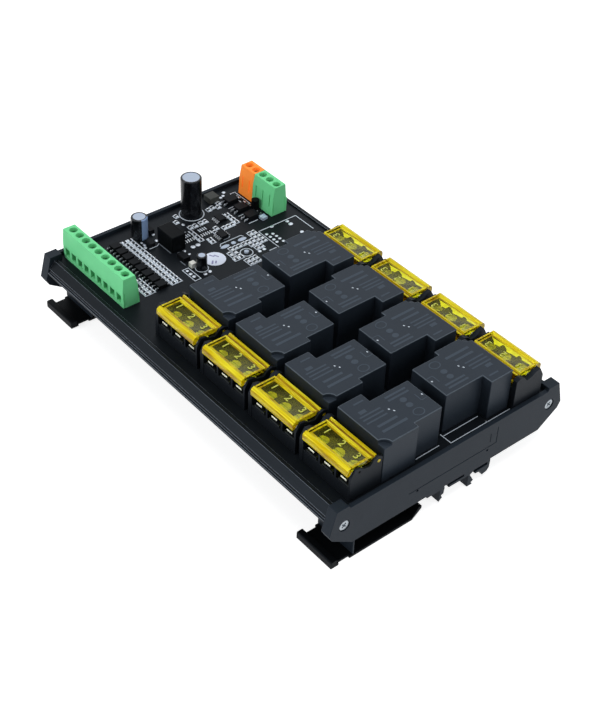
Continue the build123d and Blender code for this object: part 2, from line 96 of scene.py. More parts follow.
def mouldedPlastic(name, colour, roughness=0.45, grain=0.25, bump=0.25, stretch=(1, 1, 1),
                   spread=0.12, shine=None, specular=0.16, paintedGlow=0.0):
    # an even moulded colour with a fine spark-eroded grain and a soft sheen; a real grain is about
    # 0.1 mm and would not show, so it is drawn up to six times as coarse; the glow is painted light
    # that makes a bright pigment shine a little by itself
    material, tree = newMaterial(name)
    scale = 1 / (grain * mm)
    pattern = objectPattern(tree, [scale * s for s in stretch])
    fine = addNode(tree, "ShaderNodeTexNoise", {"Scale": 1.0, "Detail": 3.0},
                   {"Vector": pattern.outputs[0]})
    broadPlace = objectPattern(tree, (90, 90, 90))  # clouds about 11 mm wide
    broad = addNode(tree, "ShaderNodeTexNoise", {"Scale": 1.0, "Detail": 2.0},
                    {"Vector": broadPlace.outputs[0]})
    base = hexColour(colour)
    tint = addNode(tree, "ShaderNodeMixRGB", {"Color1": base}, {"Fac": broad.outputs["Fac"]})
    tint.inputs["Color2"].default_value = [min(1, c * (1 + spread * 2.2) + 0.001) for c in base[:3]] + [1]
    rough = addNode(tree, "ShaderNodeMapRange", {"From Min": 0.3, "From Max": 0.7,
                    "To Min": roughness - 0.06, "To Max": roughness + 0.06}, {"Value": fine.outputs["Fac"]})
    relief = addNode(tree, "ShaderNodeBump", {"Strength": bump, "Distance": 0.02 * mm},
                     {"Height": fine.outputs["Fac"]})
    shader = addNode(tree, "ShaderNodeBsdfPrincipled",
                     {"IOR": 1.5, "Specular IOR Level": specular, "Specular Tint": hexColour("#c2d6ee"),
                      "Emission Color": base, "Emission Strength": paintedGlow},
                     {"Base Color": tint.outputs[0], "Roughness": rough.outputs[0],
                      "Normal": relief.outputs[0]})
    if shine:
        shader.inputs["Coat Weight"].default_value = shine
        shader.inputs["Coat Roughness"].default_value = 0.15
    closeMaterial(tree, shader)
    return material


def platedMetal(name, colour, roughness, metallic=1.0, grain=0.15):
    # bright plating, with fine uneven streaks that break up the reflection
    material, tree = newMaterial(name)
    scale = 1 / (grain * mm)
    pattern = objectPattern(tree, [scale] * 3)
    noise = addNode(tree, "ShaderNodeTexNoise", {"Scale": 1.0, "Detail": 2.0},
                    {"Vector": pattern.outputs[0]})
    rough = addNode(tree, "ShaderNodeMapRange", {"To Min": roughness - 0.1, "To Max": roughness + 0.12},
                    {"Value": noise.outputs["Fac"]})
    relief = addNode(tree, "ShaderNodeBump", {"Strength": 0.2, "Distance": 0.01 * mm},
                     {"Height": noise.outputs["Fac"]})
    shader = addNode(tree, "ShaderNodeBsdfPrincipled",
                     {"Metallic": metallic, "Base Color": hexColour(colour)},
                     {"Roughness": rough.outputs[0], "Normal": relief.outputs[0]})
    closeMaterial(tree, shader)
    return material


def clearPlastic(name, colour, dark, roughness, transmission, mottle=2.0, specular=0.5, stretch=1.0):
    # clear moulding: it tints what lies behind, and its bright and dark colours mix unevenly, in patches;
    # on the thick parts they stand for a painted glow
    # mottle mm wide
    material, tree = newMaterial(name)
    scale = 1 / (mottle * mm)
    pattern = objectPattern(tree, (scale * stretch, scale, scale))
    noise = addNode(tree, "ShaderNodeTexNoise", {"Scale": 1.0, "Detail": 2.0},
                    {"Vector": pattern.outputs[0]})
    contrast = addNode(tree, "ShaderNodeMapRange", {"From Min": 0.35, "From Max": 0.65},
                       {"Value": noise.outputs["Fac"]})
    tint = addNode(tree, "ShaderNodeMixRGB", {"Color1": hexColour(dark), "Color2": hexColour(colour)},
                   {"Fac": contrast.outputs[0]})
    rough = addNode(tree, "ShaderNodeMapRange", {"To Min": roughness * 0.7, "To Max": roughness * 1.4},
                    {"Value": noise.outputs["Fac"]})
    shader = addNode(tree, "ShaderNodeBsdfPrincipled",
                     {"IOR": 1.58, "Transmission Weight": transmission, "Specular IOR Level": specular,
                      "Specular Tint": hexColour(dark)},
                     {"Base Color": tint.outputs[0], "Roughness": rough.outputs[0]})
    # lamps shine through it, so what lies beneath is lit in its colour
    path = addNode(tree, "ShaderNodeLightPath")
    lit = addNode(tree, "ShaderNodeMath", {"operation": "MULTIPLY", 1: transmission},
                  {0: path.outputs["Is Shadow Ray"]})
    through = addNode(tree, "ShaderNodeBsdfTransparent", {"Color": hexColour(colour)})
    mix = addNode(tree, "ShaderNodeMixShader",
                  links={0: lit.outputs[0], 1: shader.outputs[0], 2: through.outputs[0]})
    closeMaterial(tree, mix)
    return material


# plastics and inks: name, colour, roughness, grain in mm, its relief; metals: name, colour, roughness;
# clear ones: name, bright and dark colour, roughness, transmission, mottle in mm
finish = {
    # extruded PVC, drawn along its length: long faint streaks; its rounded edges are painted lighter as a
    # highlight
    "profile": mouldedPlastic("extrudedPvcBlack", "#07090b", 0.4, 0.3, 0.3, (0.02, 1, 1), 0.2),
    "profileHighlight": mouldedPlastic("paintedHighlightPvcEdge", "#666e78", 0.35, 0.3, 0.1),
    # moulded ABS, PBT and polyamide: the fine grain turns reflections into a soft grey sheen
    "plate": mouldedPlastic("mouldedAbsSlate", "#181e25", 0.5, 0.3, 0.35),
    "latch": mouldedPlastic("mouldedPolyamideBlack", "#040506", 0.5, 0.3, 0.3, specular=0.08),
    "relay": mouldedPlastic("mouldedPbtSlate", "#181e25", 0.5, 0.22, 0.4, specular=0.3),
    # a lighter grey for the relays' rounded top edges: a painted highlight
    "relayHighlight": mouldedPlastic("paintedHighlightPbtEdge", "#4b535b", 0.45, 0.2, 0.1),
    "barrier": mouldedPlastic("mouldedPolyamideDark", "#0e1115", 0.45, 0.25, 0.3),
    # coloured polyamide: the same grain and a clear bright colour; the orange also has a painted glow,
    # so it shines a little by itself
    "green": mouldedPlastic("mouldedPolyamideGreen", "#74d996", 0.42, 0.25, 0.2),
    "orange": mouldedPlastic("mouldedPolyamideOrange", "#ff8a34", 0.4, 0.25, 0.2, paintedGlow=0.25),
    # solder mask over glass laminate: near black and silky, cloudy where copper lies under it
    "board": mouldedPlastic("blackSolderMask", "#090c0f", 0.45, 0.6, 0.12, spread=0.3, specular=0.12),
    # epoxy and phenolic resin cases: dull black, almost without reflection
    "chip": mouldedPlastic("epoxyMouldingBlack", "#0e0f11", 0.55, 0.12, 0.35, specular=0.1),
    "potting": mouldedPlastic("phenolicCaseBlack", "#050607", 0.5, 0.3, 0.2, specular=0.07),
    # PVC sleeve shrunk tight on its can: smooth, with a highlight down its side and a printed band
    "sleeve": mouldedPlastic("shrunkPvcSleeve", "#08090c", 0.3, 0.5, 0.08, shine=0.4),
    "band": mouldedPlastic("sleeveBandInk", "#7f97bd", 0.4, 0.4, 0.1, spread=0.1),
    # pressed aluminium: pale, with a fine even dullness
    "can": mouldedPlastic("pressedAluminiumTop", "#b6c3d6", 0.35, 0.4, 0.2, spread=0.04),
    # fired ceramic, and ferrite in resin: dull dark grey with a fine speckle
    "resistor": mouldedPlastic("ceramicChip", "#2a2e33", 0.5, 0.1, 0.2),
    "inductor": mouldedPlastic("ferriteResin", "#3f413f", 0.6, 0.2, 0.4),
    # nylon: off-white and smooth
    "white": mouldedPlastic("whiteNylon", "#e6e6e0", 0.45, 0.2, 0.15, spread=0.02),
    # screen and pad inks: flat and matt, thinner where less ink was left
    "ink": mouldedPlastic("whiteScreenInk", "#c9d3de", 0.6, 0.12, 0.3, spread=0.04),
    "faintInk": mouldedPlastic("greyScreenInk", "#6b737b", 0.6, 0.12, 0.3, spread=0.05),
    "relayInk": mouldedPlastic("greyPadInk", "#363e47", 0.6, 0.15, 0.3, spread=0.1, specular=0.3),
    # coated paper: flat bluish white with pale violet print
    "paper": mouldedPlastic("coatedPaper", "#e2eafb", 0.55, 0.15, 0.15, spread=0.02),
    "paperInk": mouldedPlastic("violetPaperInk", "#8f90b4", 0.6, 0.15, 0.15, spread=0.05),
    # zinc and tin plating: bright, blurred by fine streaks; the zinc deep in the terminals, the terminal
    # contacts and the clamps' upper faces are painted dark as shade, and the clamps' wire-side faces are
    # painted near white as a highlight
    "zinc": platedMetal("zincPlate", "#9fa6ac", 0.32),
    "shadedZinc": platedMetal("paintedShadeZincPlate", "#24402f", 0.55),
    "tin": platedMetal("brightTin", "#e9eff6", 0.35, 0.55),
    "clampTinHighlight": platedMetal("tinnedSteelPaintedHighlight", "#fbfdea", 0.3, 0.2),
    "shadedTin": platedMetal("paintedShadeTinnedSteel", "#34383a", 0.5),
    # solder, set as it flowed: bright, slightly uneven domes
    "solder": platedMetal("solderedTin", "#bcc4ce", 0.4),
    # clear yellow polycarbonate: flat panels show what lies beneath; the lip, ridges, end bands, window
    # frame and raised digits are painted bright as a glow and highlight, and the groove is painted dark as
    # shade
    "clearPanel": clearPlastic("clearYellowPanel", "#d6d418", "#bcba0c", 0.05, 1.0, 2.0, 0.06),
    "clearLip": clearPlastic("clearYellowLipPaintedGlow", "#fff63a", "#dcc008", 0.15, 0.2, 0.9, 0.5, 0.05),
    "clearRim": clearPlastic("clearYellowRimPaintedGlow", "#f2e214", "#b08c02", 0.15, 0.3, 1.3, 0.4, 0.15),
    "clearGroove": clearPlastic("clearYellowGroovePaintedShade", "#c49a00", "#805a00", 0.25, 0.3, 1.2, 0.2, 0.1),
    "digit": clearPlastic("clearYellowDigit", "#dfe46a", "#b9bf50", 0.25, 0.1, 1.0),
    # milky epoxy: light spreads inside it, so it looks evenly pale
    "lens": clearPlastic("milkyLens", "#dbe9f7", "#a9c4de", 0.2, 0.25, 1.2),
}
print("materials made:", len(finish))


def dress(node, look):
    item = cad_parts[node]
    item.data.materials.clear()
    item.data.materials.append(finish[look])


def addPiece(piece, name, body, slotName, *nodes):
    piece.name = name
    piece.data.name = name
    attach(piece, body)
    if nodes:
        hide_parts(*nodes)
    return piece


def wear(piece, *looks):
    piece.data.materials.clear()
    for look in looks:
        piece.data.materials.append(finish[look])


def softCopy(node, width, segments=2):
    # a copy of the CAD form with its facets joined and its edges slightly rounded
    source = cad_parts[node]
    piece = source.copy()
    piece.data = source.data.copy()
    bpy.context.scene.collection.objects.link(piece)
    piece.parent = None
    deselectAll()
    piece.hide_set(False)
    piece.select_set(True)
    bpy.context.view_layer.objects.active = piece
    bpy.ops.object.mode_set(mode="EDIT")
    bpy.ops.mesh.select_all(action="SELECT")
    bpy.ops.mesh.remove_doubles(threshold=0.002 * mm)
    bpy.ops.mesh.dissolve_limited(angle_limit=radians(0.6))
    bpy.ops.object.mode_set(mode="OBJECT")
    roundEdges(piece, width, segments)
    return piece


def roundEdges(piece, width, segments):
    bevel = piece.modifiers.new("edges", "BEVEL")
    bevel.width = width * mm
    bevel.segments = segments
    bevel.limit_method = "ANGLE"
    bevel.angle_limit = radians(35)
    bpy.context.view_layer.objects.active = piece
    bpy.ops.object.modifier_apply(modifier=bevel.name)
    flattenShade(piece)


def flattenShade(piece):
    # the flat faces stay evenly lit beside their rounded edges
    bpy.context.view_layer.objects.active = piece
    bpy.ops.object.shade_smooth_by_angle(angle=radians(32))
    flat = piece.modifiers.new("flatFaces", "WEIGHTED_NORMAL")
    flat.keep_sharp = True
    bpy.ops.object.modifier_apply(modifier=flat.name)


def startBlock(size, look, edge):
    # a rounded block standing on z = 0 at the origin, to be copied into place
    deselectAll()
    bpy.ops.mesh.primitive_cube_add(size=1, location=(0, 0, size[2] / 2 * mm),
                                    scale=[s * mm for s in size])
    piece = bpy.context.object
    bpy.ops.object.transform_apply(location=True, rotation=True, scale=True)
    wear(piece, look)
    roundEdges(piece, edge, 1)
    return piece


def startDisc(radius, height, look, crown, sides=12):
    # a low disc on z = 0 with a sloped shoulder, its middle raised by the crown
    deselectAll()
    bpy.ops.mesh.primitive_cylinder_add(vertices=sides, radius=radius * mm, depth=height * mm,
                                        location=(0, 0, height / 2 * mm))
    piece = bpy.context.object
    bpy.ops.object.transform_apply(location=True, rotation=True, scale=True)
    wear(piece, look)
    bpy.ops.object.mode_set(mode="EDIT")
    bpy.ops.mesh.select_all(action="DESELECT")
    bpy.ops.object.mode_set(mode="OBJECT")
    for face in piece.data.polygons:
        face.select = face.normal.z > 0.9
    bpy.ops.object.mode_set(mode="EDIT")
    bpy.ops.mesh.inset(thickness=radius * 0.3 * mm)
    bpy.ops.transform.translate(value=(0, 0, crown * mm))
    bpy.ops.object.mode_set(mode="OBJECT")
    bpy.ops.object.shade_smooth_by_angle(angle=radians(50))
    return piece


inkLine = {"height": 0.04, "edge": 0.012}  # a printed line: how far it stands up, and its rounding


def startFrame(width, depth, line, look, sides=0):
    # a printed outline: a flat shape, inset, its middle cleared, then thickened upward
    deselectAll()
    if sides:
        bpy.ops.mesh.primitive_circle_add(vertices=sides, radius=0.5, fill_type="NGON")
    else:
        bpy.ops.mesh.primitive_plane_add(size=1)
    piece = bpy.context.object
    piece.scale = (width * mm, depth * mm, 1)
    bpy.ops.object.transform_apply(location=True, rotation=True, scale=True)
    wear(piece, look)
    bpy.ops.object.mode_set(mode="EDIT")
    bpy.ops.mesh.select_all(action="SELECT")
    bpy.ops.mesh.inset(thickness=line * mm)
    bpy.ops.mesh.delete(type="FACE")
    bpy.ops.mesh.select_all(action="SELECT")
    bpy.ops.mesh.extrude_region_move(TRANSFORM_OT_translate={"value": (0, 0, inkLine["height"] * mm)})
    bpy.ops.mesh.select_all(action="SELECT")
    bpy.ops.mesh.normals_make_consistent(inside=False)
    bpy.ops.object.mode_set(mode="OBJECT")
    return piece


def joinPieces(pieces):
    deselectAll()
    for piece in pieces:
        piece.select_set(True)
    bpy.context.view_layer.objects.active = pieces[0]
    bpy.ops.object.transform_apply(location=True, rotation=True, scale=True)
    if len(pieces) > 1:
        bpy.ops.object.join()
    return bpy.context.object


def copyTo(master, places, keep=False):
    # each place: x, y, z, turn in degrees, stretch along x, stretch along y; keep leaves the master
    # in the scene for the next call
    made = []
    for x, y, z, turn, wide, deep in places:
        piece = master.copy()
        piece.data = master.data.copy()
        bpy.context.scene.collection.objects.link(piece)
        piece.location = (x * mm, y * mm, z * mm)
        piece.rotation_euler = (0, 0, radians(turn))
        piece.scale = (wide, deep, 1)
        made.append(piece)
    if not keep:
        bpy.data.objects.remove(master)
    return joinPieces(made)


def stripes(lines, look, z):
    # printed lines with rounded ends: each x0, y0, x1, y1, width
    places = []
    for x0, y0, x1, y1, width in lines:
        places.append(((x0 + x1) / 2, (y0 + y1) / 2, z, degrees(atan2(y1 - y0, x1 - x0)),
                       hypot(x1 - x0, y1 - y0), width))
    return copyTo(startBlock((1, 1, inkLine["height"]), look, inkLine["edge"]), places)


rounding = {"latch": 0.15, "relay": 0.3, "housing": 0.2, "cover": 0.2, "capacitor": 0.35, "clamp": 0.12}
# the faces of the profile's rounded edges that take the lighter colour, a painted highlight
profileHighlight = {"area": 61.5, "low": 0.3, "high": 0.96}  # a rounded edge: face area in mm2 and upward tilt

carrier = {  # node: edge rounding, look, slot
    "base_profile": (0.25, "profile", "profile_plastic"),
    "end_plate_front": (0.3, "plate", "end_plate_plastic"),
    "end_plate_rear": (0.3, "plate", "end_plate_plastic"),
    "circuit_board": (0.1, "board", "board_laminate"),
    "input_terminal_housing": (0.2, "green", "green_plastic"),
    "bus_terminal_housing": (0.2, "green", "green_plastic"),
    "supply_terminal_housing": (0.2, "orange", "orange_plastic"),
    "converter_block": (0.4, "potting", "potting_black"),
}
for node, (width, look, slotName) in carrier.items():
    piece = softCopy(node, width)
    wear(piece, look)
    if node == "base_profile":
        wear(piece, look, "profileHighlight")
        # small, upward-tilted faces on the rounded edges take the lighter colour as a painted highlight
        for face in piece.data.polygons:
            small = face.area < profileHighlight["area"] * mm * mm
            if small and profileHighlight["low"] < face.normal.z < profileHighlight["high"]:
                face.material_index = 1
    addPiece(piece, node + "Form", "carrier", slotName, node)

for side in ("front", "rear"):
    piece = softCopy("rail_latch_" + side, rounding["latch"])
    wear(piece, "latch")
    addPiece(piece, "latchForm_" + side, "latch_" + side, "latch_plastic", "rail_latch_" + side)

for i in range(1, 9):
    piece = softCopy(f"relay_{i}", rounding["relay"])
    wear(piece, "relay", "relayHighlight")
    # the rounded top edges take the lighter colour as a painted highlight
    for face in piece.data.polygons:
        if 0.2 < face.normal.z < 0.95 and face.center.z > (relayTop - 1) * mm:
            face.material_index = 1
    addPiece(piece, f"relayForm_{i}", "carrier", "relay_shell", f"relay_{i}")
    piece = softCopy(f"terminal_housing_{i}", rounding["housing"])
    wear(piece, "barrier")
    addPiece(piece, f"terminalForm_{i}", "carrier", "terminal_plastic", f"terminal_housing_{i}")
print("carrier, relays and housings formed")


cover = {
    # depths measured from the relay's outer wall
    "wall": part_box("relay_5")[1][1] / mm,
    "ridges": ((2.2, 3.5), (4.5, 5.7)),
    "groove": (3.5, 4.5),
    "digitRow": 8.5,
    # the bright lip, ridges and bands below are a painted glow, the groove a painted shade
    "lipFront": 13.9,  # past this lies the bright wire-side lip
    "rim": 1.2,  # bright band at both ends
    "frame": 0.8,  # bright band around the clear window
    "windowArea": 100,  # the flat top is the only upward face as large as this
    "bandArea": 60,  # a smaller upward face belongs to a bright band
    "digitSize": 4.9,
    "digitHeight": 0.22,
    "digitLevel": 42.5,
    "digitPlaces": (4.4, 13.0, 21.7),
}


def cornerOf(i):
    # outer rear corner of a relay, and the turn of its column
    low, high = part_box(f"relay_{i}")
    if i <= 4:
        return low[0] / mm, low[1] / mm, 1
    return high[0] / mm, high[1] / mm, -1


def makeCover(i):
    node = f"terminal_cover_{i}"
    piece = softCopy(node, rounding["cover"])
    wear(piece, "clearPanel", "clearLip", "clearRim", "clearGroove")
    low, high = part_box(node)
    for edge in piece.data.edges:
        edge.select = False
    for vertex in piece.data.vertices:
        vertex.select = False
    for face in piece.data.polygons:
        face.select = face.normal.z > 0.98 and face.area > cover["windowArea"] * mm * mm
    bpy.ops.object.mode_set(mode="EDIT")
    bpy.ops.mesh.select_mode(type="FACE")
    bpy.ops.mesh.inset(thickness=cover["frame"] * mm)
    bpy.ops.object.mode_set(mode="OBJECT")
    # faces take painted colours by place: a bright painted glow on the lip, ridges and bands, painted shade
    # in the groove
    for face in piece.data.polygons:
        reach = abs(face.center.y) / mm - cover["wall"]
        nearEnd = min(face.center.x - low[0], high[0] - face.center.x) / mm
        if reach > cover["lipFront"] and abs(face.normal.z) < 0.4:
            face.material_index = 2
        elif reach > cover["lipFront"] or any(a < reach < b for a, b in cover["ridges"]):
            face.material_index = 1
        elif cover["groove"][0] <= reach <= cover["groove"][1]:
            face.material_index = 3
        elif nearEnd < cover["rim"] or face.normal.z > 0.98 and face.area < cover["bandArea"] * mm * mm:
            face.material_index = 2
    return addPiece(piece, f"coverForm_{i}", f"cover_{i}", "cover_clear", node)


def makeDigits():
    # raised numbers for a left-hand cover, placed from the relay's corner, tops toward the relay
    made = []
    for number, x in enumerate(cover["digitPlaces"], start=1):
        deselectAll()
        bpy.ops.object.text_add(location=(x * mm, -cover["digitRow"] * mm, 0))
        text = bpy.context.object
        text.data.body = str(number)
        text.data.size = cover["digitSize"] * mm
        text.data.align_x = "CENTER"
        text.data.align_y = "CENTER"
        text.data.offset = -0.02 * mm
        text.data.extrude = cover["digitHeight"] * mm
        bpy.ops.object.convert(target="MESH")
        made.append(bpy.context.object)
    piece = joinPieces(made)
    wear(piece, "digit")
    return piece


def ontoRelay(master, i, level):
    # a copy at the relay's corner, turned half round in the right-hand column
    x, y, side = cornerOf(i)
    return copyTo(master, [(x, y, level, 0 if side > 0 else 180, 1, 1)], keep=i < 8)


digits = makeDigits()
for i in range(1, 9):
    makeCover(i)
    addPiece(ontoRelay(digits, i, cover["digitLevel"]), f"coverDigits_{i}", f"cover_{i}", "cover_clear")
print("clear covers and their numbers formed")


capacitors = {
    # how far the sleeve laps over the can's top, which lies a little lower
    "lap": {"capacitor_large": 0.55, "capacitor_medium": 0.5, "capacitor_small": 0.35},
    "sink": 0.15,
    # the pale band down one sleeve, between two angles about its axis
    "banded": "capacitor_medium",
    "band": (-0.2, 1.0),
}


def makeCapacitor(node, lap):
    piece = softCopy(node, rounding["capacitor"], 3)
    wear(piece, "sleeve", "can", "band")
    low, high = [Vector(corner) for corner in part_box(node)]
    middle = (low + high) / 2
    radius = (high.x - low.x) / 2
    first, last = capacitors["band"]
    deselectAll()
    piece.select_set(True)
    bpy.context.view_layer.objects.active = piece
    for face in piece.data.polygons:
        face.select = face.normal.z > 0.98 and face.center.z > high.z - 0.05 * mm
    bpy.ops.object.mode_set(mode="EDIT")
    bpy.ops.mesh.select_mode(type="FACE")
    bpy.ops.mesh.inset(thickness=lap * mm)
    bpy.ops.transform.translate(value=(0, 0, -capacitors["sink"] * mm))
    bpy.ops.object.mode_set(mode="OBJECT")
    for face in piece.data.polygons:
        if face.select:
            face.material_index = 1
        turn = atan2(face.center.y - middle.y, face.center.x - middle.x)
        away = hypot(face.center.x - middle.x, face.center.y - middle.y)
        if node == capacitors["banded"] and away > 0.8 * radius and first < turn < last:
            face.material_index = 2
    flattenShade(piece)
    return addPiece(piece, node + "Form", "carrier", "capacitor_sleeve", node)


for node, lap in capacitors["lap"].items():
    makeCapacitor(node, lap)
print("capacitors formed")


relayPrint = {
    # plain bars for the printed lines: both ends, x from the rear end and y from the outer wall, width
    "bars": [
        (21.4, 4.4, 21.4, 17.2, 1.3), (18.2, 4.8, 18.2, 14.8, 1.2), (9.7, 17.8, 9.7, 28.6, 1.0),
        (7.7, 17.8, 7.7, 28.6, 1.0), (14.6, 2.4, 14.6, 12.9, 0.8), (12.5, 2.4, 12.5, 12.9, 0.8),
        (10.5, 2.4, 10.5, 12.9, 0.8), (8.3, 4.0, 8.3, 7.4, 1.8), (3.3, 5.4, 3.3, 10.4, 0.8),
        (12.8, 28.8, 16.8, 28.8, 0.5), (17.0, 28.8, 17.0, 31.8, 0.4),
    ],
    "discs": [(16.2, 23.1, 1.6), (12.6, 23.1, 1.6)],
    "ring": (21.2, 23.4, 4.4, 5.4),
    "ringLine": 0.45,
    "dots": [(15.1, 16.05), (13.3, 14.95), (14.6, 31.2)],
    "dotRadius": 0.38,
}


def makeRelayPrint():
    # for a left-hand relay, placed from its corner
    pieces = [stripes(relayPrint["bars"], "relayInk", 0)]
    pieces.append(copyTo(startDisc(1, 0.03, "relayInk", 0.01),
                         [(x, y, 0, 0, 0.85 * r, r) for x, y, r in relayPrint["discs"]]))
    x, y, wide, deep = relayPrint["ring"]
    pieces.append(copyTo(startFrame(wide, deep, relayPrint["ringLine"], "relayInk", sides=20),
                         [(x, y, 0, 0, 1, 1)]))
    pieces.append(copyTo(startDisc(relayPrint["dotRadius"], 0.06, "ink", 0.02, 8),
                         [(x, y, 0, 30, 1.2, 0.8) for x, y in relayPrint["dots"]]))
    return joinPieces(pieces)


marks = makeRelayPrint()
for i in range(1, 9):
    addPiece(ontoRelay(marks, i, relayTop), f"relayPrint_{i}", "carrier", "relay_shell")
print("relay marks printed")


boardPrint = {
    # white printed lines on the board: x0, y0, x1, y1, width
    "lines": [
        (-61.2, 30.8, -61.2, 53.2, 0.45), (-61.2, 53.2, -47.8, 53.2, 0.45), (-61.2, 30.6, -45.6, 30.6, 0.4),
        (-46.2, 29.6, -46.2, 25.4, 0.5), (-63.8, 10.2, -63.8, 22.0, 0.4), (-63.8, 22.0, -62.4, 22.6, 0.4),
        (-63.8, 10.2, -62.2, 8.8, 0.4), (-94.6, 42.0, -82.4, 42.0, 0.35), (-94.6, 39.2, -82.4, 39.2, 0.4),
        (-82.4, 42.0, -82.4, 39.2, 0.4), (-94.6, 42.0, -94.6, 39.2, 0.35), (-84.9, 36.6, -84.9, 30.8, 0.4),
        (-76.9, 36.6, -76.9, 30.8, 0.4), (-69.2, 36.6, -69.2, 31.0, 0.4), (-81.4, -12.4, -80.2, -14.2, 0.35),
        (-80.2, -14.2, -80.2, -18.6, 0.35), (-52.9, -26.8, -52.2, -32.6, 0.35),
        (-72.4, 17.4, -66.4, 17.4, 0.4), (-66.4, 17.4, -65.8, 16.6, 0.4),
        (92.8, 2.0, 98.9, 2.0, 0.35), (98.9, 2.0, 99.0, 35.6, 0.35),
        (94.2, 2.4, 94.2, 21.8, 0.3), (98.2, 22.3, 99.0, 22.3, 0.3), (97.2, -15.7, 97.1, -2.8, 0.3),
    ],
    "faint": [
        (-81.0, -12.6, -71.6, -12.6, 0.5), (-64.0, -12.7, -60.0, -12.7, 0.5), (-65.6, 16.6, -65.6, 13.2, 0.4),
    ],
    # outlines: x, y, width, depth
    "boxes": [(-52.8, -14.5, 10.2, 3.7)],
    # round pads: x, y, radius, stretch along y
    "pads": [
        (-57.1, 32.3, 0.8, 1), (-54.4, 32.4, 0.8, 1), (-51.8, 32.4, 0.8, 1), (-49.5, 32.4, 0.8, 1),
        (-55.7, 35.0, 0.8, 1), (-53.3, 35.2, 0.8, 1), (-50.8, 35.2, 0.8, 1), (-48.2, 35.3, 0.8, 1),
        (-59.6, 46.8, 0.9, 1.1), (-57.0, 46.8, 1.1, 1.1), (-48.8, 47.0, 0.9, 1.1), (-60.6, 38.2, 0.8, 1.3),
        (-69.5, 1.3, 1.15, 1), (-69.5, -1.5, 1.15, 1), (-69.3, -6.8, 0.9, 1), (-69.2, -9.6, 0.9, 1),
        (-66.0, -6.2, 0.6, 1.2), (-49.6, -6.6, 0.9, 1), (-49.3, -9.4, 0.9, 1), (-56.0, -14.6, 0.8, 1),
        (-53.2, -14.8, 0.9, 1), (-50.8, -14.6, 0.9, 1), (-97.4, 37.3, 0.9, 1), (-95.2, 35.3, 0.8, 1),
        (-94.6, 33.4, 0.8, 1), (-86.8, 5.4, 1.0, 0.8), (-88.7, -10.7, 0.8, 1), (-83.7, -12.3, 0.9, 0.8),
        (-84.2, -18.7, 1.0, 0.7), (-82.3, -19.5, 1.0, 0.7), (-86.4, -18.8, 0.7, 0.8), (-89.8, 40.6, 0.9, 0.6),
        (-85.0, 40.6, 0.9, 0.6), (-48.4, 24.0, 0.9, 1), (-48.4, 21.3, 0.9, 1),
    ],
    # long pads in the narrow outlined box: x, y, width, length
    "ovals": [(-60.9, 20.6, 2.3, 4.8), (-61.0, 15.6, 2.2, 2.4), (-60.9, 10.6, 2.3, 4.8)],
    # rings: x, y, outer diameter, line
    "rings": [(-91.9, 13.95, 12.3, 0.45), (-51.4, 15.9, 6.4, 0.45), (-53.9, -7.95, 6.4, 0.35)],
    "ringDot": (-51.4, 15.9, 1.15),
}

pieces = [stripes(boardPrint["lines"], "ink", boardTop), stripes(boardPrint["faint"], "faintInk", boardTop)]
for x, y, width, depth in boardPrint["boxes"]:
    pieces.append(copyTo(startFrame(width, depth, 0.4, "ink"), [(x, y, boardTop, 0, 1, 1)]))
for x, y, width, line in boardPrint["rings"]:
    pieces.append(copyTo(startFrame(width, width, line, "ink", sides=40), [(x, y, boardTop, 0, 1, 1)]))
addPiece(joinPieces(pieces), "boardPrint", "carrier", "board_laminate")

pieces = [copyTo(startDisc(1, 0.2, "solder", 0.12),
                 [(x, y, boardTop, 0, r, r * s) for x, y, r, s in boardPrint["pads"]])]
pieces.append(copyTo(startDisc(1, 0.15, "can", 0.1, 16),
                     [(x, y, boardTop, 0, w / 2, d / 2) for x, y, w, d in boardPrint["ovals"]]))
x, y, radius = boardPrint["ringDot"]
pieces.append(copyTo(startDisc(radius, 0.8, "can", 0.2), [(x, y, boardTop, 0, 1, 1)]))
addPiece(joinPieces(pieces), "solderPads", "carrier", "board_laminate")
print("board lines and pads printed")


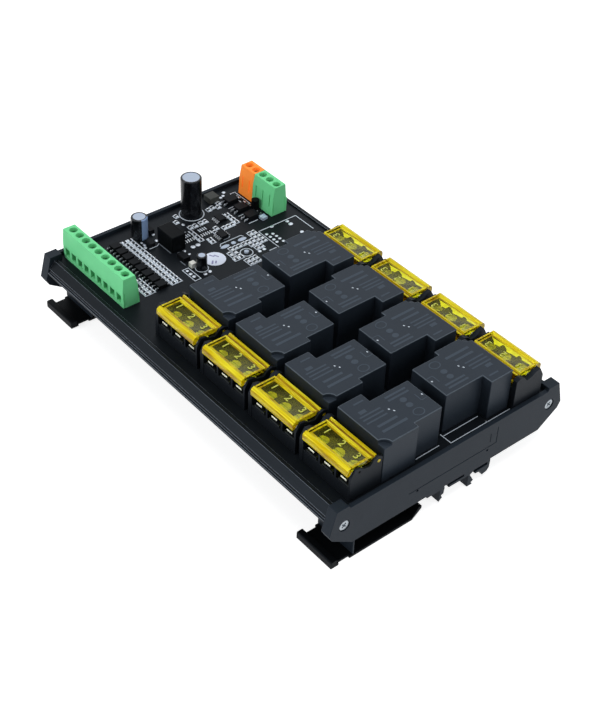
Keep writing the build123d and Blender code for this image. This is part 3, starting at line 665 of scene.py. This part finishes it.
passives = {
    "body": (1.26, 2.0, 0.55),
    "cap": (1.36, 0.5, 0.62),
    "capPlace": 0.85,
    "outline": (2.45, 2.95, 0.42),
    # x, y, turn
    "places": [
        (-81.3, 27.0, 0), (-78.8, 27.0, 0), (-76.3, 27.0, 0), (-73.7, 27.0, 0),
        (-73.2, 24.3, 90), (-73.2, 21.9, 90), (-73.2, 19.5, 90),
        (-82.9, 15.4, 90), (-82.9, 12.9, 90), (-82.9, 9.5, 90), (-82.9, 6.7, 90),
        (-75.3, 16.2, 90), (-73.0, 13.9, 90), (-69.8, 8.4, 0), (-67.3, 8.2, 0),
        (-79.8, 4.65, 0), (-77.2, 4.65, 0), (-74.5, 4.65, 0), (-71.9, 4.65, 0),
        (-62.2, 28.6, 90), (-59.5, 28.6, 90), (-56.9, 28.6, 90), (-54.3, 28.6, 90),
        (-62.2, 26.2, 90), (-59.5, 26.2, 90), (-56.9, 26.2, 90), (-54.3, 26.2, 90),
        (-57.3, 23.8, 90), (-54.6, 23.8, 90), (-57.3, 21.4, 90), (-54.6, 21.4, 90), (-57.4, 19.0, 90),
        (-57.4, 16.2, 90), (-57.4, 13.9, 90), (-57.6, 11.6, 90), (-55.0, 11.6, 90), (-52.3, 11.6, 90),
        (-49.9, 11.6, 0), (-54.8, 8.9, 90), (-52.1, 8.9, 90), (-49.8, 8.7, 0),
        (-51.2, 24.6, 90), (-51.2, 22.1, 90), (-46.0, 16.9, 90), (-43.3, 16.9, 90), (-46.0, 14.5, 90),
        (-43.3, 14.5, 90), (-46.0, 12.1, 90), (-43.3, 12.1, 90),
        (-91.3, 29.6, 90), (-88.9, 27.6, 90), (-90.3, 25.0, 90), (-89.6, 22.4, 90), (-94.4, 6.6, 90),
        (-90.4, 3.9, 90),
        (-63.3, -36.3, 0), (-60.6, -36.3, 0), (-57.9, -36.3, 0), (-55.3, -36.3, 0), (-52.8, -36.3, 0),
        (-57.6, -39.2, 0), (-55.2, -39.2, 0), (-52.8, -39.2, 0),
    ],
    # the CAD resistors beside the inputs: first x, pitch, half a pair, rows
    "inputRow": (-89.9, 5.16, 1.3, (-25.0, -22.0)),
}
cap = passives["capPlace"]
body = startBlock(passives["body"], "resistor", 0.08)
caps = copyTo(startBlock(passives["cap"], "tin", 0.08), [(0, cap, 0, 0, 1, 1), (0, -cap, 0, 0, 1, 1)])
width, depth, line = passives["outline"]
one = joinPieces([body, caps, startFrame(width, depth, line, "ink")])
piece = copyTo(one, [(x, y, boardTop, turn, 1, 1) for x, y, turn in passives["places"]])
addPiece(piece, "smallPassives", "carrier", "resistor_ceramic")

first, pitch, half, rows = passives["inputRow"]
columns = [first + pitch * i + side * half for i in range(8) for side in (-1, 1)]
caps = copyTo(startBlock(passives["cap"], "tin", 0.08),
              [(x, y + end * cap, boardTop, 0, 1, 1) for x in columns for y in rows for end in (-1, 1)])
outlines = copyTo(startFrame(width, depth, line * 1.3, "ink"),
                  [(x, y, boardTop, 0, 1, 1) for x in columns for y in rows])
addPiece(joinPieces([caps, outlines]), "resistorEnds", "carrier", "resistor_ceramic")
print("small passives placed:", len(passives["places"]))


legs = {
    "width": 0.5,
    "foot": 0.9,
    "sheet": 0.16,
    "reach": 0.5,  # how far the shank slopes back to the body
    # each kind of chip: rise of its legs, stretch of their feet, half its depth, leg places along its
    # side, whether it stands along Y, and the chips' centres
    "kinds": [
        (1.0, 1.4, 2.2, (-1.27, 1.27), False, [(-89.9 + 5.16 * i, -30.85) for i in range(8)]),
        (1.1, 1.9, 3.0, (-1.27, 1.27), False, [(-89.1, 35.4), (-80.9, 35.4), (-72.8, 35.4)]),
        (0.8, 1.0, 1.95, (-1.9, -0.63, 0.63, 1.9), False, [(-80.1, 22.15), (-68.6, 14.65)]),
        (0.55, 1.3, 2.2, (-2.6, -1.3, 0, 1.3, 2.6), True, [(-77.6, -0.35), (-77.4, 9.65)]),
    ],
}


def startLeg(rise, stretch):
    # a stout tinned leg: a flat foot, drawn up and back to the body along with all its edges
    size = (legs["width"], legs["foot"] * stretch, legs["sheet"])
    deselectAll()
    bpy.ops.mesh.primitive_cube_add(size=1, scale=[s * mm for s in size],
                                    location=(0, (legs["reach"] + size[1] / 2) * mm, size[2] / 2 * mm))
    piece = bpy.context.object
    bpy.ops.object.transform_apply(location=True, rotation=True, scale=True)
    wear(piece, "tin")
    for face in piece.data.polygons:
        face.select = face.normal.y < -0.9
    bpy.ops.object.mode_set(mode="EDIT")
    bpy.ops.mesh.select_mode(type="FACE")
    bpy.ops.mesh.extrude_region_move(TRANSFORM_OT_translate={
        "value": (0, -legs["reach"] * 0.6 * mm, (rise - size[2]) * mm)})
    bpy.ops.mesh.extrude_region_move(TRANSFORM_OT_translate={"value": (0, -legs["reach"] * 0.4 * mm, 0)})
    bpy.ops.object.mode_set(mode="OBJECT")
    roundEdges(piece, 0.05, 1)
    return piece


def makeLegs(rise, stretch, half, along, turned, centres):
    # one leg for each kind of chip, copied down both sides of every such chip
    places = []
    for x, y in centres:
        for step in along:
            for side in (1, -1):
                if turned:
                    places.append((x + side * half, y + step, boardTop, -90 * side, 1, 1))
                else:
                    places.append((x + step, y + side * half, boardTop, 0 if side > 0 else 180, 1, 1))
    return copyTo(startLeg(rise, stretch), places)


addPiece(joinPieces([makeLegs(*kind) for kind in legs["kinds"]]), "chipLegs", "carrier", "chip_resin")
print("chip legs placed")


label = {
    # plain bars where the sticker and the chips carry print: x0, y0, x1, y1, width
    "sticker": [(-58.6, 2.2, -56.2, 3.4, 0.7), (-59.8, 0.6, -57.4, 1.8, 0.7),
                (-55.4, -0.6, -53.4, -2.4, 0.8), (-54.4, 0.6, -52.9, -0.8, 0.7)],
    "chips": [(-78.3, y, -76.1, y, 0.55) for y in (7.6, 8.8, 10.0, 11.2, -1.9, -0.7, 0.5, 1.7)],
}
sticker = stripes(label["sticker"], "paperInk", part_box("inspection_sticker")[1][2] / mm)
marks = stripes(label["chips"], "ink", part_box("logic_chips")[1][2] / mm)
addPiece(sticker, "stickerBars", "carrier", "white_paper")
addPiece(marks, "chipMarks", "carrier", "chip_resin")
print("labels printed")

# the clamps' wire-side faces are painted near white as a highlight, their other faces dark as shade
piece = softCopy("terminal_clamps", rounding["clamp"], 1)
wear(piece, "shadedTin", "clampTinHighlight")
for face in piece.data.polygons:
    if abs(face.normal.y) > 0.5:
        face.material_index = 1
addPiece(piece, "terminalClampForms", "carrier", "tinned_steel", "terminal_clamps")
print("clamps formed")

# the terminal contacts and the small terminals' screws and cages take painted shade colours
plain = {
    "end_plate_screws": "zinc", "terminal_screws": "tin", "terminal_contacts": "shadedTin",
    "small_terminal_screws": "shadedZinc", "small_terminal_cages": "shadedZinc", "input_optocouplers": "chip",
    "bus_optocouplers": "chip", "logic_chips": "chip", "interface_chips": "chip", "diodes": "chip",
    "input_resistors": "resistor", "power_inductor": "inductor", "white_connector": "white",
    "indicator_led": "lens", "sounder": "potting", "inspection_sticker": "paper",
}
for node, look in plain.items():
    dress(node, look)


stage = {
    "size": 6,
    "level": -0.0002,
    "colour": "#d3d4d5",
    "white": 0.78,  # added where the floor is looked at, so that it shows near white
    "worldColour": (0.95, 0.97, 1, 1),
    "worldLight": 0.14,
}


def makeStage():
    bpy.ops.mesh.primitive_plane_add(size=stage["size"], location=(0, 0, stage["level"]))
    floor = bpy.context.object
    floor.name = "floor"
    material, tree = newMaterial("paleFloor")
    diffuse = addNode(tree, "ShaderNodeBsdfDiffuse", {"Color": hexColour(stage["colour"])})
    white = addNode(tree, "ShaderNodeEmission", {"Color": (1, 1, 1, 1), "Strength": stage["white"]})
    both = addNode(tree, "ShaderNodeAddShader", links={0: diffuse.outputs[0], 1: white.outputs[0]})
    mix = addNode(tree, "ShaderNodeMixShader",
                  links={0: seenRay(tree), 1: diffuse.outputs[0], 2: both.outputs[0]})
    closeMaterial(tree, mix)
    floor.data.materials.append(material)


def seenRay(tree):
    # 1 for what the camera, a gloss or a clear part looks at
    path = addNode(tree, "ShaderNodeLightPath")
    some = addNode(tree, "ShaderNodeMath", {"operation": "ADD"},
                   {0: path.outputs["Is Camera Ray"], 1: path.outputs["Is Glossy Ray"]})
    every = addNode(tree, "ShaderNodeMath", {"operation": "ADD", "use_clamp": True},
                    {0: some.outputs[0], 1: path.outputs["Is Transmission Ray"]})
    return every.outputs[0]


lamps = {  # name: place, aim, size, watts
    "key": ((1.1, 0.25, 0.7), (0, 0, 0.02), 0.7, 5),
    "fill": ((-0.35, -1.15, 0.6), (0, 0, 0.02), 0.9, 8),
    "top": ((0.1, -0.05, 1.4), (0, 0, 0.02), 0.9, 9),
    "sheen": ((-1.0, 0.88, 1.15), (0, 0, 0.02), 1.2, 2.5),
}


def makeLights():
    for name, (place, aim, size, power) in lamps.items():
        bpy.ops.object.light_add(type="AREA", location=place)
        lamp = bpy.context.object
        lamp.name = name
        lamp.data.energy = power
        lamp.data.size = size
        lamp.rotation_euler = (Vector(aim) - Vector(place)).to_track_quat("-Z", "Y").to_euler()
    world = bpy.context.scene.world or bpy.data.worlds.new("studio")
    bpy.context.scene.world = world
    world.use_nodes = True
    tree = world.node_tree
    tree.nodes.clear()
    light = addNode(tree, "ShaderNodeBackground",
                    {"Color": stage["worldColour"], "Strength": stage["worldLight"]})
    shown = addNode(tree, "ShaderNodeBackground", {"Color": (1, 1, 1, 1), "Strength": 1.0})
    mix = addNode(tree, "ShaderNodeMixShader",
                  links={0: seenRay(tree), 1: light.outputs[0], 2: shown.outputs[0]})
    addNode(tree, "ShaderNodeOutputWorld", links={"Surface": mix.outputs[0]})


camera = {
    "place": (0.37273, -0.31884, 0.41914),
    "turn": (51.135, -2.0175, 50.5272),
    "lens": 71.8196,
    "shift": (-0.00075, -0.0466),
}


def makeCamera():
    bpy.ops.object.camera_add(location=camera["place"], rotation=[radians(a) for a in camera["turn"]])
    view = bpy.context.object
    view.data.sensor_width = 36
    view.data.lens = camera["lens"]
    view.data.shift_x, view.data.shift_y = camera["shift"]
    view.data.clip_start = 0.01
    bpy.context.scene.camera = view


deselectAll()
makeStage()
makeLights()
makeCamera()
bpy.context.scene.view_settings.view_transform = "Standard"
print("stage, lights and camera set")
